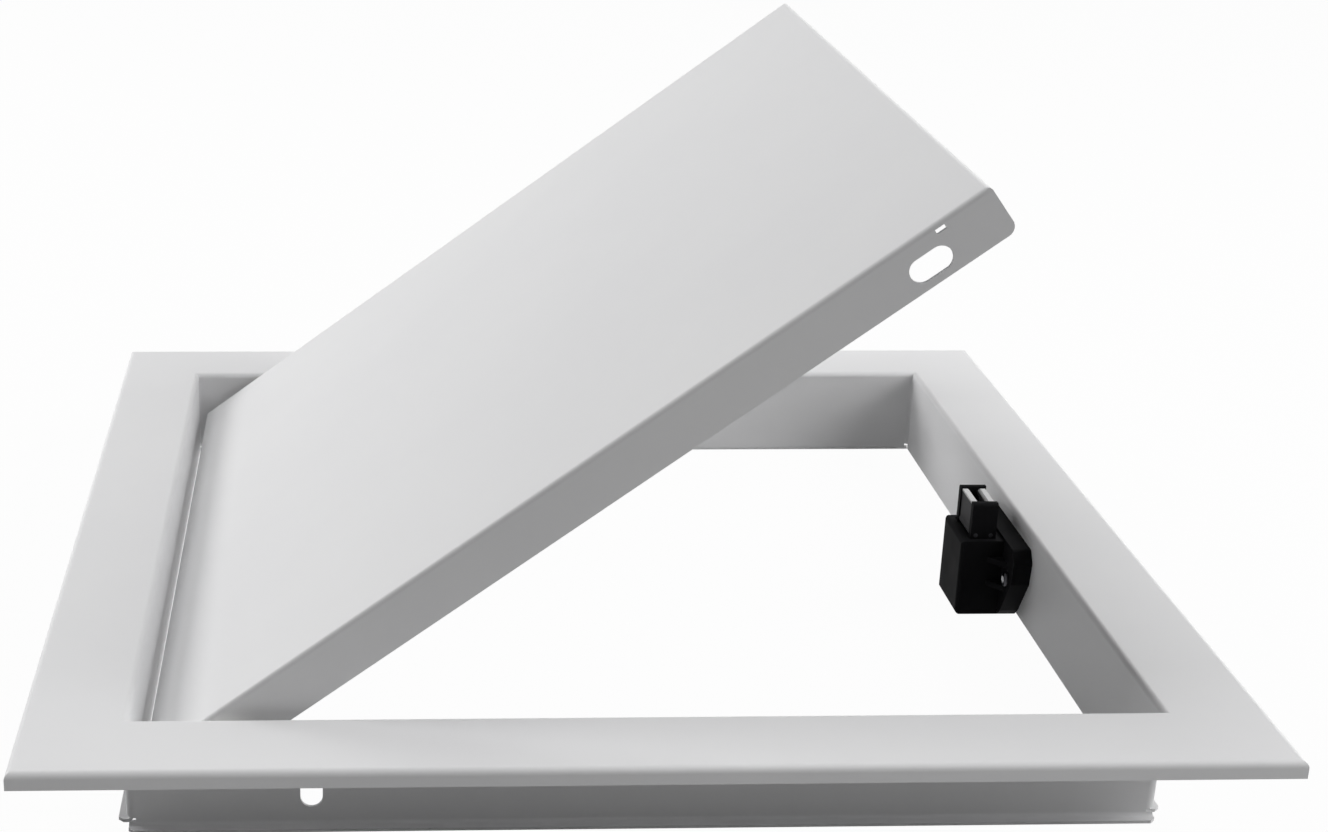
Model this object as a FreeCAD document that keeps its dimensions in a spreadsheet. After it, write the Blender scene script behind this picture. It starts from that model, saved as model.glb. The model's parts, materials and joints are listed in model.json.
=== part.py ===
import FreeCAD, Part
import math
import os
import Sketcher
from FreeCAD import Placement, Rotation, Vector

# Ceiling access panel: a square frame of four folded steel rails, and a shallow steel
# door on two side pins that a push-to-open catch holds shut. Millimetres, +Z towards the
# room. The origin is the middle of the frame's footprint, at the level of its bottom lips.
# The hinge is at -X, the catch at +X, and the door stands partly open.

DOC = FreeCAD.newDocument("ceiling_access_panel")

DRIVING = (
    ("opening_x", 300, "clear opening, hinge side to catch side"),
    ("opening_y", 300, "clear opening along the hinge line"),
    ("wall_depth", 35, "frame height, lip to flange face"),
    ("sheet", 1, "frame sheet thickness"),
    ("flange_width", 31, "flange beyond the opening"),
    ("return_drop", 5.2, "folded edge of the flange, face to tip"),
    ("bend", 2, "outer radius of the frame's folds"),
    ("lip_width", 4.5, "outward lip at the bottom of each wall"),
    ("lip_clip", 1.5, "corner clipped off each end of a lip"),
    ("tab_length", 16, "corner tab along the neighbouring wall"),
    ("tab_bend", 3, "outer radius of the corner tab's fold"),
    ("tab_low", 3, "bottom edge of the corner tab"),
    ("tab_high", 31, "top edge of the corner tab"),
    ("fixing_from_end", 52.1, "fixing slot's centre from the hinge wall"),
    ("fixing_height", 12.8, "fixing slot's centre above the lip"),
    ("fixing_length", 13, "fixing slot, end to end"),
    ("fixing_width", 6.5, "fixing slot, across"),
    ("door_sheet", 1, "door sheet thickness"),
    ("door_depth", 15, "side walls of the door pan"),
    ("door_bend", 1.6, "outer radius of the door's folds"),
    ("end_wall_rise", 3, "how much shallower the door's end walls are"),
    ("door_corner", 3, "rounded bottom corners of the door's side walls"),
    ("seam", 0.4, "open seam where two door walls meet"),
    ("gap_hinge", 3.5, "door to frame, hinge end"),
    ("gap_free", 7.5, "door to frame, catch end"),
    ("gap_side", 3.5, "door to frame, both sides"),
    ("pivot_inset", 24.2, "pivot from the door's hinge end"),
    ("pivot_drop", 9.2, "pivot below the door's face"),
    ("obround_length", 13, "pivot obround, end to end"),
    ("obround_width", 7, "pivot obround, across"),
    ("slit_inset", 17, "vent slit from the door's end"),
    ("slit_length", 3, "vent slit along the fold"),
    ("slit_height", 1.4, "vent slit across the fold"),
    ("slit_drop", 2.3, "vent slit's middle below the door's face"),
    ("open_angle", 36.6, "how far the door stands open"),
    ("pin_diameter", 6, "hinge pin"),
    ("pin_play", 0.1, "hinge pin to its hole, each side"),
    ("pin_head", 10, "hinge pin's head diameter"),
    ("pin_head_height", 2.5, "hinge pin's head"),
    ("pin_end", 2.2, "hinge pin beyond its clip"),
    ("groove_depth", 0.5, "clip groove in the hinge pin"),
    ("spacer_diameter", 11, "spacer between frame and door"),
    ("spacer_play", 0.2, "spacer to the door wall"),
    ("clip_diameter", 10.4, "retaining clip"),
    ("clip_thickness", 0.7, "retaining clip"),
    ("clip_play", 0.1, "clip to the door wall"),
    ("catch_reach", 13.5, "catch centre from the frame wall"),
    ("housing_half", 12, "catch housing, half its width"),
    ("housing_drop", 6.5, "top of the housing below the flange face"),
    ("housing_floor", 2.7, "floor under the catch spring"),
    ("cover_thickness", 3.2, "front cover of the housing"),
    ("cover_round", 1.5, "rounded edges of the cover"),
    ("ear_thickness", 6.5, "mounting ears of the housing"),
    ("ear_half", 25, "half width across the ears"),
    ("ear_round", 3, "rounded corners of the ears"),
    ("rib_size", 5.5, "stiffening ribs beside the housing"),
    ("rib_thickness", 2, "stiffening ribs beside the housing"),
    ("screw_spread", 19, "catch screws from the middle"),
    ("screw_drop", 18, "catch screws below the flange face"),
    ("screw_diameter", 3, "catch screw's shank"),
    ("screw_play", 0.2, "catch screw to its hole, each side"),
    ("screw_head", 5, "catch screw's head diameter"),
    ("screw_head_height", 1.5, "catch screw's head"),
    ("screw_socket", 1, "catch screw's hexagon socket, half across flats"),
    ("nut_width", 5.5, "nuts, across flats"),
    ("nut_height", 2.4, "nuts"),
    ("thread_end", 1.2, "thread standing out of its nut"),
    ("carriage_width", 19, "moving carriage along the wall"),
    ("carriage_thickness", 9, "moving carriage towards the opening"),
    ("carriage_play", 0.3, "carriage in its guide, each side"),
    ("carriage_rise", 6.7, "carriage's top above the flange face, released"),
    ("carriage_length", 25.7, "moving carriage, top to bottom"),
    ("fork_depth", 13.7, "fork between the carriage's ears"),
    ("fork_width", 14, "fork between the carriage's ears"),
    ("fork_round", 1.2, "rounded tops of the carriage's ears"),
    ("pusher_thickness", 1.6, "blade between the jaws that the strike pushes"),
    ("pusher_width", 11, "blade between the jaws that the strike pushes"),
    ("pusher_play", 0.15, "strike to the blade when the jaws close on it"),
    ("catch_stroke", 9.9, "how far the closing door pushes the carriage in"),
    ("catch_overtravel", 3.1, "carriage's room below its pushed-in place"),
    ("spring_bore", 6.4, "spring pocket in the carriage"),
    ("spring_pocket", 8.5, "depth of the spring pocket"),
    ("spring_diameter", 5.2, "catch spring, middle of its wire"),
    ("spring_wire", 0.8, "catch spring's wire"),
    ("spring_turns", 7, "catch spring"),
    ("track_width", 1.6, "follower track in the carriage"),
    ("track_depth", 0.9, "follower track in the carriage"),
    ("track_length", 11.5, "straight leg of the follower track"),
    ("track_loop_width", 6.8, "loop of the follower track"),
    ("track_loop_length", 9, "loop of the follower track"),
    ("follower_wire", 0.9, "cam follower's wire"),
    ("follower_entry", 1, "follower's tip above the carriage's bottom"),
    ("follower_length", 12.5, "cam follower, tip to anchor"),
    ("follower_play", 0.25, "follower's tip to the floor of its track"),
    ("jaw_width", 13.4, "catch jaws along the wall"),
    ("jaw_top_drop", 0.8, "top of the jaws below the carriage's top"),
    ("jaw_gap", 2.8, "between the jaws' hooks, open"),
    ("jaw_recess", 0.6, "hook beyond the jaw's inner face"),
    ("jaw_hook", 2.2, "height of the jaw's hook"),
    ("jaw_leadin", 0.8, "chamfer on top of the jaw's hook"),
    ("jaw_thickness", 2.6, "catch jaw, at its hook"),
    ("jaw_eye", 3.2, "eye at the foot of the jaw"),
    ("jaw_pin", 1.6, "jaw pivot pin"),
    ("jaw_pin_play", 0.05, "jaw pivot pin to its hole, each side"),
    ("strike_sheet", 1, "strike bracket's sheet"),
    ("strike_length", 31, "strike bracket's foot"),
    ("strike_width", 16, "strike bracket's foot"),
    ("strike_bend", 1.6, "outer radius of the strike's fold"),
    ("tongue_width", 11, "strike's tongue"),
    ("tongue_drop", 9.2, "strike's tip below the door's face"),
    ("tongue_offset", 0.1, "tongue's middle beyond the catch's middle"),
    ("bead_diameter", 2, "rolled bead at the tongue's tip"),
    ("stud_pitch", 11, "between the two strike studs"),
    ("stud_inset", 8, "first strike stud from the foot's end"),
    ("stud_diameter", 3, "strike studs"),
)


class Size:
    """A length that carries its value and the spreadsheet expression that gives it."""

    def __init__(self, value, text):
        self.value = value
        self.text = text

    def _join(self, sign, other, value):
        return Size(value, "(" + self.text + sign + written(other) + ")")

    def __add__(self, other):
        return self._join(" + ", other, self.value + number(other))

    def __sub__(self, other):
        return self._join(" - ", other, self.value - number(other))

    def __mul__(self, factor):
        return self._join(" * ", factor, self.value * number(factor))

    def __truediv__(self, divisor):
        return self._join(" / ", divisor, self.value / number(divisor))

    def __neg__(self):
        return self * -1

    def __radd__(self, other):
        return self + other

    def __rsub__(self, other):
        return -self + other

    def __rmul__(self, factor):
        return self * factor


def number(size):
    """The plain number behind a size."""
    return size.value if isinstance(size, Size) else float(size)


def written(size):
    """The expression behind a size."""
    return size.text if isinstance(size, Size) else repr(float(size))


def driving_sheet():
    """Write the driving dimensions to the document's spreadsheet, and name each one."""
    table = DOC.addObject("Spreadsheet::Sheet", "dims")
    sizes = {}
    for row, (name, value, meaning) in enumerate(DRIVING, 1):
        table.set(f"A{row}", meaning)
        table.set(f"B{row}", str(value))
        table.setAlias(f"B{row}", name)
    DOC.recompute()
    for name, _, _ in DRIVING:
        sizes[name] = Size(float(table.get(name)), "dims." + name)
    return sizes


class Sizes:
    """The driving dimensions as attributes, such as D.sheet."""

    def __init__(self, sizes):
        self.__dict__.update(sizes)


D = Sizes(driving_sheet())
NODES = {}

# Places that several pieces share, worked out from the driving dimensions.
HALF_X = D.opening_x / 2
HALF_Y = D.opening_y / 2
FACE = D.wall_depth
PIVOT_X = D.gap_hinge + D.pivot_inset - HALF_X
PIVOT_Z = FACE - D.pivot_drop
DOOR_LENGTH = D.opening_x - D.gap_hinge - D.gap_free
DOOR_HALF = HALF_Y - D.gap_side
CATCH_X = HALF_X - D.catch_reach
CARRIAGE_TOP = FACE + D.carriage_rise
CARRIAGE_BOTTOM = CARRIAGE_TOP - D.carriage_length
CARRIAGE_BACK = CATCH_X + D.carriage_thickness / 2
CAVITY_BACK = CARRIAGE_BACK + D.carriage_play
CAVITY_FRONT = CATCH_X - D.carriage_thickness / 2 - D.carriage_play
HOUSING_TOP = FACE - D.housing_drop
CAVITY_FLOOR = CARRIAGE_BOTTOM - D.catch_stroke - D.catch_overtravel
HOUSING_BOTTOM = CAVITY_FLOOR - D.housing_floor
FORK_FLOOR = CARRIAGE_TOP - D.fork_depth
JAW_PIVOT_Z = FORK_FLOOR + D.jaw_eye / 2 + D.jaw_pin_play * 2
JAW_PIVOT_OFFSET = D.jaw_gap / 2 + D.jaw_thickness / 2
EAR_FACE = HALF_X - D.ear_thickness
SCREW_Z = FACE - D.screw_drop
CLEAR = 8
RUNS_PER_TURN = 7
WIRE_SIDES = 5
FRONT, REAR = -1, 1


def bind(thing, prop, size):
    """Tie one property of an object to the spreadsheet."""
    if isinstance(size, Size):
        thing.setExpression(prop, size.text)
    else:
        thing.setExpression(prop, repr(float(size)))


def keep(name, thing):
    """Name an object as one of the panel's pieces."""
    thing.Label = name
    NODES[name] = thing
    return thing


def new_body(name):
    return DOC.addObject("PartDesign::Body", name)


def sketch_on(body, role, name, offset=0):
    """A sketch on one of the body's own planes, moved out along its normal by offset."""
    sketch = body.newObject("Sketcher::SketchObject", name)
    plane = next(p for p in body.Origin.OriginFeatures if p.Role == role)
    sketch.AttachmentSupport = (plane, "")
    sketch.MapMode = "FlatFace"
    bind(sketch, "AttachmentOffset.Base.z", offset)
    return sketch


def set_size(sketch, kind, places, size):
    """A dimension constraint tied to the spreadsheet."""
    index = sketch.addConstraint(Sketcher.Constraint(kind, *places, number(size)))
    if isinstance(size, Size):
        sketch.setExpression(f"Constraints[{index}]", size.text)


def pin_x(sketch, geometry, point, x):
    """Hold a point at a distance from the sketch's upright axis."""
    if isinstance(x, Size):
        set_size(sketch, "DistanceX", (-1, 1, geometry, point), x)
    else:
        sketch.addConstraint(Sketcher.Constraint("PointOnObject", geometry, point, -2))


def pin_y(sketch, geometry, point, y):
    """Hold a point at a distance from the sketch's level axis."""
    if isinstance(y, Size):
        set_size(sketch, "DistanceY", (-1, 1, geometry, point), y)
    else:
        sketch.addConstraint(Sketcher.Constraint("PointOnObject", geometry, point, -1))


def outline(sketch, sides, radii=None):
    """Closed outline of upright and level lines, with some corners rounded.

    sides gives, in turn, the x of an upright line and the y of a level one. radii gives
    the radius of the corner after a side, by that side's number.
    """
    radii = radii or {}
    count = len(sides)
    corners = []
    for i, side in enumerate(sides):
        following = sides[(i + 1) % count]
        x, y = (side, following) if i % 2 == 0 else (following, side)
        corners.append(Vector(number(x), number(y), 0))
    ways = [(corners[i] - corners[i - 1]).normalize() for i in range(count)]
    lines = []
    for i, side in enumerate(sides):
        start = corners[i - 1] + ways[i] * number(radii.get((i - 1) % count, 0))
        end = corners[i] - ways[i] * number(radii.get(i, 0))
        lines.append(sketch.addGeometry(Part.LineSegment(start, end), False))
        upright = i % 2 == 0
        sketch.addConstraint(Sketcher.Constraint("Vertical" if upright else "Horizontal", lines[i]))
        (pin_x if upright else pin_y)(sketch, lines[i], 1, side)
    for i in range(count):
        following = (i + 1) % count
        if i not in radii:
            sketch.addConstraint(Sketcher.Constraint("Coincident", lines[i], 2, lines[following], 1))
            continue
        radius = number(radii[i])
        start = corners[i] - ways[i] * radius
        end = corners[i] + ways[following] * radius
        centre = start + ways[following] * radius
        turns_left = ways[i].cross(ways[following]).z > 0
        first, last = (start, end) if turns_left else (end, start)
        angles = [math.atan2(p.y - centre.y, p.x - centre.x) for p in (first, last)]
        circle = Part.Circle(centre, Vector(0, 0, 1), radius)
        arc = sketch.addGeometry(Part.ArcOfCircle(circle, *angles), False)
        points = (1, 2) if turns_left else (2, 1)
        sketch.addConstraint(Sketcher.Constraint("Tangent", lines[i], 2, arc, points[0]))
        sketch.addConstraint(Sketcher.Constraint("Tangent", lines[following], 1, arc, points[1]))
        set_size(sketch, "Radius", (arc,), radii[i])


def polygon(sketch, points):
    """Closed outline through the given points."""
    count = len(points)
    places = [Vector(number(x), number(y), 0) for x, y in points]
    lines = []
    for i, (x, y) in enumerate(points):
        segment = Part.LineSegment(places[i], places[(i + 1) % count])
        lines.append(sketch.addGeometry(segment, False))
        pin_x(sketch, lines[i], 1, x)
        pin_y(sketch, lines[i], 1, y)
    for i in range(count):
        following = lines[(i + 1) % count]
        sketch.addConstraint(Sketcher.Constraint("Coincident", lines[i], 2, following, 1))


def circle(sketch, x, y, diameter):
    shape = Part.Circle(Vector(number(x), number(y), 0), Vector(0, 0, 1), number(diameter) / 2)
    index = sketch.addGeometry(shape, False)
    pin_x(sketch, index, 3, x)
    pin_y(sketch, index, 3, y)
    set_size(sketch, "Diameter", (index,), diameter)


def obround(sketch, x, y, length, width, upright):
    """A slot with round ends about its centre x, y."""
    reach = (length - width) / 2
    radius = width / 2
    if upright:
        centres = ((x, y + reach), (x, y - reach))
        turn = 0.0
    else:
        centres = ((x - reach, y), (x + reach, y))
        turn = math.pi / 2
    ends = []
    arcs = []
    for i, (cx, cy) in enumerate(centres):
        centre = Vector(number(cx), number(cy), 0)
        start = turn + i * math.pi
        ring = Part.Circle(centre, Vector(0, 0, 1), number(radius))
        arcs.append(sketch.addGeometry(Part.ArcOfCircle(ring, start, start + math.pi), False))
        pin_x(sketch, arcs[i], 3, cx)
        pin_y(sketch, arcs[i], 3, cy)
        set_size(sketch, "Radius", (arcs[i],), radius)
        for angle in (start, start + math.pi):
            ends.append(centre + Vector(math.cos(angle), math.sin(angle), 0) * number(radius))
    for i in range(2):
        line = sketch.addGeometry(Part.LineSegment(ends[2 * i + 1], ends[(2 * i + 2) % 4]), False)
        sketch.addConstraint(Sketcher.Constraint("Tangent", arcs[i], 2, line, 1))
        sketch.addConstraint(Sketcher.Constraint("Tangent", arcs[1 - i], 1, line, 2))


def pad(body, sketch, length, symmetric=False, reverse=False):
    feature = body.newObject("PartDesign::Pad", sketch.Name + "_pad")
    feature.Profile = sketch
    feature.SideType = "Symmetric" if symmetric else "One side"
    feature.Reversed = reverse
    bind(feature, "Length", length)
    sketch.Visibility = False
    return feature


def pocket(body, sketch, depth=None, reverse=False):
    """Cut the sketch into the body: depth mm against its normal, or right through."""
    feature = body.newObject("PartDesign::Pocket", sketch.Name + "_pocket")
    feature.Profile = sketch
    feature.Reversed = reverse
    if depth is None:
        feature.Type = "ThroughAll"
        feature.SideType = "Symmetric"
    else:
        feature.Type = "Length"
        bind(feature, "Length", depth)
    sketch.Visibility = False
    return feature


def edge_along(axis, **places):
    """A test for straight edges along an axis, at the given coordinates."""
    way = {"x": Vector(1, 0, 0), "y": Vector(0, 1, 0), "z": Vector(0, 0, 1)}[axis]

    def wanted(edge):
        if not isinstance(edge.Curve, Part.Line):
            return False
        if edge.Curve.Direction.cross(way).Length > 1e-6:
            return False
        middle = edge.CenterOfMass
        return all(abs(getattr(middle, name) - number(size)) < 1e-3 for name, size in places.items())

    return wanted


def dress(body, kind, size, wanted):
    """Round or chamfer the edges of the body's last feature that pass a test."""
    DOC.recompute()
    base = body.Tip
    names = [f"Edge{i}" for i, edge in enumerate(base.Shape.Edges, 1) if wanted(edge)]
    if not names:
        raise RuntimeError(body.Name + ": no edge to dress")
    feature = body.newObject("PartDesign::" + kind, body.Name + "_" + kind.lower())
    feature.Base = (base, names)
    bind(feature, "Radius" if kind == "Fillet" else "Size", size)
    return feature


def block(name, x, y, z):
    """A box between pairs of coordinates."""
    box = DOC.addObject("Part::Box", name)
    for prop, axis, (low, high) in zip(("Length", "Width", "Height"), "xyz", (x, y, z)):
        bind(box, prop, high - low)
        bind(box, "Placement.Base." + axis, low)
    return box


TURN_TO = {
    "x": Rotation(Vector(0, 1, 0), 90),
    "y": Rotation(Vector(1, 0, 0), -90),
    "z": Rotation(),
}


def rod(name, axis, diameter, length, start):
    """A cylinder that starts at a point and runs along +X, +Y or +Z."""
    cylinder = DOC.addObject("Part::Cylinder", name)
    cylinder.Placement = Placement(Vector(), TURN_TO[axis])
    bind(cylinder, "Radius", diameter / 2)
    bind(cylinder, "Height", length)
    for letter, size in zip("xyz", start):
        bind(cylinder, "Placement.Base." + letter, size)
    return cylinder


def cut(name, base, tool):
    result = DOC.addObject("Part::Cut", name)
    result.Base = base
    result.Tool = tool
    return result


def group(name, shapes):
    """Several separate solids as one piece group."""
    result = DOC.addObject("Part::Compound", name)
    result.Links = shapes
    return keep(name, result)


def place(thing, x, y, z, axis=Vector(0, 0, 1), angle=0):
    """Put a body at a place that follows the spreadsheet."""
    thing.Placement = Placement(Vector(), Rotation(axis, number(angle)))
    for letter, size in zip("xyz", (x, y, z)):
        bind(thing, "Placement.Base." + letter, size)
    if isinstance(angle, Size):
        bind(thing, "Placement.Rotation.Angle", angle)
    return thing


def rail_profile(sketch, wall, side):
    """Section of a rail: lip, wall, flange and folded edge, outwards from the wall face."""
    flange = wall + D.flange_width
    inner = D.bend - D.sheet
    sides = [
        wall * side, FACE,
        flange * side, FACE - D.return_drop,
        (flange - D.sheet) * side, FACE - D.sheet,
        (wall + D.sheet) * side, D.sheet,
        (wall + D.lip_width) * side, 0,
    ]
    outline(sketch, sides, {0: D.bend, 1: D.bend, 4: inner, 5: inner, 6: inner, 9: D.bend})


def mitre(body, half_long, half_cross, side, along):
    """Cut both ends of a rail along the frame's diagonals."""
    for end in (-1, 1):
        near = half_long * end
        far = (half_long + D.flange_width + CLEAR) * end
        wall = half_cross * side
        outer = (half_cross + D.flange_width + CLEAR) * side
        inner = (half_cross - CLEAR) * side
        points = [(near, wall), (far, outer), (far, inner), (near, inner)]
        if along == "y":
            points = [(across, length) for length, across in points]
        name = f"{body.Name}_mitre_{'low' if end < 0 else 'high'}"
        sketch = sketch_on(body, "XY_Plane", name)
        polygon(sketch, points)
        pocket(body, sketch)


def clip_lip(body, lip_end, wall, side, along):
    """Clip the outer corners off both ends of a rail's lip, clear of its neighbours."""
    for end in (-1, 1):
        outer = (wall + D.lip_width + D.sheet) * side
        start = (wall + D.lip_width - D.lip_clip) * side
        points = [
            ((lip_end + D.sheet) * end, start - D.sheet * side),
            ((lip_end + D.sheet) * end, outer),
            ((lip_end - D.lip_clip - D.sheet) * end, outer),
        ]
        if along == "y":
            points = [(across, length) for length, across in points]
        clip = sketch_on(body, "XY_Plane", f"{body.Name}_clip_{'low' if end < 0 else 'high'}")
        polygon(clip, points)
        pocket(body, clip, D.sheet * 2, reverse=True)


def end_rail(name, side):
    """Front or rear rail, with the corner tabs, a fixing slot and the hinge pin's hole."""
    body = new_body(name)
    section = sketch_on(body, "YZ_Plane", name + "_section")
    rail_profile(section, HALF_Y, side)
    pad(body, section, (HALF_X + D.flange_width) * 2, symmetric=True)
    mitre(body, HALF_X, HALF_Y, side, "x")
    wall_end = HALF_X + D.sheet * 2 - D.tab_bend
    lip_end = HALF_X + D.sheet
    outer = (HALF_Y + D.sheet) * side
    for end in (-1, 1):
        where = "hinge" if end < 0 else "catch"
        trim = sketch_on(body, "XY_Plane", f"{name}_trim_{where}", D.bend)
        outline(trim, [
            wall_end * end, (HALF_Y + D.lip_width + CLEAR) * side,
            (HALF_X + D.lip_width + CLEAR) * end, (HALF_Y - CLEAR) * side,
        ])
        pocket(body, trim, D.tab_high - D.bend, reverse=True)
        stop = sketch_on(body, "XY_Plane", f"{name}_lip_stop_{where}")
        outline(stop, [
            lip_end * end, (HALF_Y + D.lip_width + CLEAR) * side,
            (HALF_X + D.lip_width + CLEAR) * end, (HALF_Y - CLEAR) * side,
        ])
        pocket(body, stop, D.bend, reverse=True)
        tab = sketch_on(body, "XY_Plane", f"{name}_tab_{where}", D.tab_low)
        outline(tab, [
            (wall_end - D.sheet) * end, HALF_Y * side,
            (HALF_X + D.sheet) * end, (HALF_Y - D.tab_length) * side,
            (HALF_X + D.sheet * 2) * end, outer,
        ], {1: D.tab_bend - D.sheet, 4: D.tab_bend})
        pad(body, tab, D.tab_high - D.tab_low)
    clip_lip(body, lip_end, HALF_Y, side, "x")
    holes = sketch_on(body, "XZ_Plane", name + "_holes")
    obround(holes, D.fixing_from_end - HALF_X, D.fixing_height, D.fixing_length,
            D.fixing_width, upright=True)
    circle(holes, PIVOT_X, PIVOT_Z, D.pin_diameter + D.pin_play * 2)
    pocket(body, holes)
    return keep(name, body)


def side_rail(name, side, screw_holes):
    """Hinge or catch rail. Its wall ends inside the corner tabs of its neighbours."""
    body = new_body(name)
    section = sketch_on(body, "XZ_Plane", name + "_section")
    rail_profile(section, HALF_X, side)
    pad(body, section, (HALF_Y + D.flange_width) * 2, symmetric=True)
    mitre(body, HALF_Y, HALF_X, side, "y")
    wall_end = HALF_Y - (D.tab_bend - D.sheet)
    for end in (-1, 1):
        trim = sketch_on(body, "XY_Plane", f"{name}_trim_{'front' if end < 0 else 'rear'}")
        outline(trim, [
            (HALF_X - CLEAR) * side, wall_end * end,
            (HALF_X + D.lip_width + CLEAR) * side, (HALF_Y + CLEAR) * end,
        ])
        pocket(body, trim, D.tab_high, reverse=True)
    clip_lip(body, wall_end, HALF_X, side, "y")
    if screw_holes:
        holes = sketch_on(body, "YZ_Plane", name + "_holes")
        for place_y in (-D.screw_spread, D.screw_spread):
            circle(holes, place_y, SCREW_Z, D.screw_diameter + D.screw_play * 2)
        pocket(body, holes)
    return keep(name, body)


def door_place(thing):
    """Turn a piece of the door, drawn about the pivot, to where the door stands."""
    return place(thing, PIVOT_X, 0, PIVOT_Z, Vector(0, -1, 0), D.open_angle)


def door_pan():
    """The door: one sheet folded down on four sides, drawn closed about its pivot."""
    body = new_body("door_pan")
    hinge_end = -D.pivot_inset
    free_end = DOOR_LENGTH - D.pivot_inset
    top = D.pivot_drop
    bottom = D.pivot_drop - D.door_depth
    blank = sketch_on(body, "XY_Plane", "door_blank", bottom)
    outline(blank, [hinge_end, DOOR_HALF, free_end, -DOOR_HALF])
    pad(body, blank, D.door_depth)
    dress(body, "Fillet", D.door_bend, lambda edge: abs(edge.CenterOfMass.z - number(top)) < 1e-3)
    dress(body, "Fillet", D.door_corner, edge_along("y", z=bottom))
    hollow = sketch_on(body, "XY_Plane", "door_hollow", bottom)
    outline(hollow, [
        hinge_end + D.door_sheet, DOOR_HALF - D.door_sheet,
        free_end - D.door_sheet, D.door_sheet - DOOR_HALF,
    ])
    pocket(body, hollow, D.door_depth - D.door_sheet, reverse=True)
    ceiling = top - D.door_sheet

    def under_face(edge):
        middle = edge.CenterOfMass
        inside = abs(middle.y) < number(DOOR_HALF) - 1e-3 and middle.x < number(free_end) - 1e-3
        return abs(middle.z - number(ceiling)) < 1e-3 and inside and middle.x > number(hinge_end) + 1e-3

    dress(body, "Fillet", D.door_bend - D.door_sheet, under_face)
    door_cuts(body, hinge_end, free_end, top, bottom)
    return keep("door_pan", door_place(body))


def door_cuts(body, hinge_end, free_end, top, bottom):
    """Shallower end walls, catch notch, corner seams, pivot obrounds and vent slits."""
    inside_y = DOOR_HALF - D.door_sheet
    for end, where in ((hinge_end, "hinge"), (free_end, "free")):
        way = -1 if where == "hinge" else 1
        rise = sketch_on(body, "XY_Plane", f"door_rise_{where}", bottom)
        outline(rise, [end - D.door_sheet * 2 * way, inside_y, end + D.door_sheet * way, -inside_y])
        pocket(body, rise, D.end_wall_rise, reverse=True)
        seam = sketch_on(body, "XY_Plane", f"door_seam_{where}", bottom)
        for side in (FRONT, REAR):
            outline(seam, [
                end - D.door_sheet * way, inside_y * side,
                end + D.door_sheet * way, (inside_y - D.seam) * side,
            ])
        pocket(body, seam, D.door_depth - D.door_bend, reverse=True)
    notch = sketch_on(body, "YZ_Plane", "door_notch", free_end + D.door_sheet)
    notch_half = D.housing_half + D.door_bend
    notch_top = top - D.door_sheet * 2 - D.seam
    outline(notch, [-notch_half, notch_top, notch_half, bottom - D.door_sheet])
    pocket(body, notch, D.door_sheet * 3)
    holes = sketch_on(body, "XZ_Plane", "door_obrounds")
    for end, way in ((hinge_end, 1), (free_end, -1)):
        centre_x = 0 if way == 1 else end - D.pivot_inset
        obround(holes, centre_x, 0, D.obround_length, D.obround_width, upright=False)
        slit_x = end + D.slit_inset * way
        half = D.slit_length / 2
        high = top - D.slit_drop + D.slit_height / 2
        outline(holes, [slit_x - half, high, slit_x + half, high - D.slit_height])
    pocket(body, holes)


TONGUE_X = CATCH_X + D.tongue_offset - PIVOT_X
STRIKE_END = TONGUE_X + D.strike_sheet / 2
STRIKE_START = STRIKE_END - D.strike_length
STRIKE_FACE = D.pivot_drop - D.door_sheet
STUD_PLACES = (STRIKE_START + D.stud_inset, STRIKE_START + D.stud_inset + D.stud_pitch)


def strike():
    """Bracket under the door: a foot on two studs, and a tongue with a rolled bead."""
    body = new_body("strike")
    under = STRIKE_FACE - D.strike_sheet
    tip = D.pivot_drop - D.tongue_drop
    inner = STRIKE_END - D.strike_sheet
    foot = sketch_on(body, "XZ_Plane", "strike_foot")
    outline(foot, [STRIKE_START, STRIKE_FACE, STRIKE_END, under - D.strike_bend, inner, under],
            {1: D.strike_bend, 4: D.strike_bend - D.strike_sheet})
    pad(body, foot, D.strike_width, symmetric=True)
    dress(body, "Fillet", D.strike_bend, edge_along("z", x=STRIKE_START))
    tongue = sketch_on(body, "XZ_Plane", "strike_tongue")
    outline(tongue, [inner, STRIKE_FACE - D.strike_bend, STRIKE_END, tip + D.bead_diameter / 2])
    pad(body, tongue, D.tongue_width, symmetric=True)
    bead = sketch_on(body, "XZ_Plane", "strike_bead")
    circle(bead, TONGUE_X, tip + D.bead_diameter / 2, D.bead_diameter)
    pad(body, bead, D.tongue_width, symmetric=True)
    sides = sketch_on(body, "XY_Plane", "strike_sides", STRIKE_FACE)
    for side in (FRONT, REAR):
        outline(sides, [
            inner - D.strike_bend, D.strike_width * side,
            STRIKE_END + D.strike_sheet, (D.tongue_width / 2) * side,
        ])
    pocket(body, sides)
    holes = sketch_on(body, "XY_Plane", "strike_holes", STRIKE_FACE)
    for stud_x in STUD_PLACES:
        circle(holes, stud_x, 0, D.stud_diameter + D.screw_play * 2)
    pocket(body, holes, D.strike_sheet)
    keep("strike", door_place(body))


def strike_studs():
    """Two threaded studs welded under the door's face."""
    studs = []
    length = D.strike_sheet + D.nut_height + D.thread_end
    for number_of, stud_x in enumerate(STUD_PLACES, 1):
        body = new_body(f"stud_{number_of}")
        turn = sketch_on(body, "XY_Plane", f"stud_{number_of}_round", STRIKE_FACE)
        circle(turn, stud_x, 0, D.stud_diameter)
        pad(body, turn, length, reverse=True)
        studs.append(door_place(body))
    group("strike_studs", studs)


def nut_outline(sketch, x, y):
    """A hexagon with two flats across the sketch's level axis."""
    half = D.nut_width / 2
    point = half * (1 / math.cos(math.pi / 6))
    middle = point / 2
    polygon(sketch, [
        (x + half, y + middle), (x, y + point), (x - half, y + middle),
        (x - half, y - middle), (x, y - point), (x + half, y - middle),
    ])


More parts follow.
